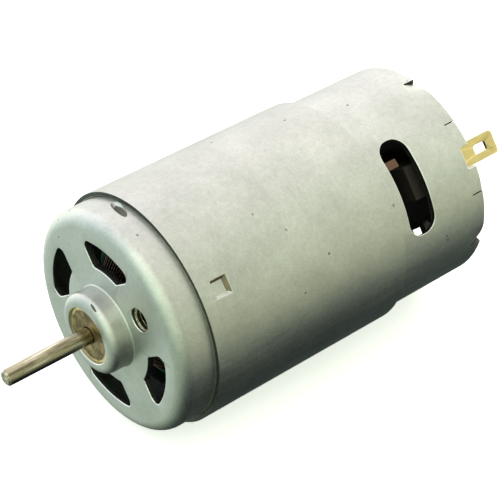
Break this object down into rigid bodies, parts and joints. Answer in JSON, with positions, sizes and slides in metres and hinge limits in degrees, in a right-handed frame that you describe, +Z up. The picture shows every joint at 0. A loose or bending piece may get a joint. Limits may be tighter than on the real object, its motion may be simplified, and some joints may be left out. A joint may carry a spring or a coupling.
{
  "type": "brushed electric motor",
  "caption": "Small brushed DC motor: closed steel can with flux ring, vented front with centre boss and screw holes, thin output shaft and rear solder lugs.",
  "frame": {"origin": "centre of the front mounting face, on the shaft axis", "axes": "-Y along the shaft towards its output end, +Z up; the line through the two screw holes and the two terminals lies on the +X+Z diagonal"},
  "size_m": [0.029, 0.0652, 0.029],
  "materials": {
    "zinc_plated_steel": "satin zinc plating",
    "zinc_plated_ring": "satin zinc plating",
    "sintered_bronze": "porous oiled bronze",
    "ferrite": "matt ground",
    "spring_bronze": "rolled",
    "black_nylon": "moulded",
    "terminal_brass": "rolled brass",
    "spring_steel": "drawn wire",
    "carbon": "pressed graphite",
    "ground_steel": "ground",
    "lamination_steel": "stacked sheet",
    "green_fibre": "coated fibre",
    "enamelled_copper": "enamelled wire",
    "natural_nylon": "moulded",
    "phenolic": "moulded",
    "commutator_copper": "turned copper",
    "varistor_ceramic": "sintered"
  },
  "bodies": {
    "case": {"can": "zinc_plated_steel", "flux_ring": "zinc_plated_ring", "front_bushing": "sintered_bronze", "magnet_a": "ferrite", "magnet_b": "ferrite", "magnet_clip_a": "spring_bronze", "magnet_clip_b": "spring_bronze", "end_bell": "black_nylon", "rear_bushing": "sintered_bronze", "terminal_a": "terminal_brass", "terminal_b": "terminal_brass", "brush_spring_a": "spring_steel", "brush_spring_b": "spring_steel"},
    "rotor": {"shaft": "ground_steel", "armature_core": "lamination_steel", "insulator_front": "green_fibre", "insulator_rear": "green_fibre", "coil_a": "enamelled_copper", "coil_b": "enamelled_copper", "coil_c": "enamelled_copper", "spacer_front": "natural_nylon", "spacer_rear": "natural_nylon", "commutator_hub": "phenolic", "segment_a": "commutator_copper", "segment_b": "commutator_copper", "segment_c": "commutator_copper", "varistor_ring": "varistor_ceramic", "thrust_washer_front": "natural_nylon", "thrust_washer_rear": "natural_nylon"},
    "brush_a": {"carbon_brush_a": "carbon"},
    "brush_b": {"carbon_brush_b": "carbon"}
  },
  "joints": [
    {"name": "rotor_spin", "type": "hinge", "parent": "case", "child": "rotor", "pos_m": [0, 0, 0], "axis": [0, -1, 0], "continuous": true},
    {"name": "brush_a_slide", "type": "slide", "parent": "case", "child": "brush_a", "axis": [0.7071, 0, 0.7071], "range_m": [0, 0.0012], "stiffness_N_per_m": 120, "springref_m": -0.003, "deforming": ["brush_spring_a"]},
    {"name": "brush_b_slide", "type": "slide", "parent": "case", "child": "brush_b", "axis": [-0.7071, 0, -0.7071], "range_m": [0, 0.0012], "stiffness_N_per_m": 120, "springref_m": -0.003, "deforming": ["brush_spring_b"]}
  ]
}
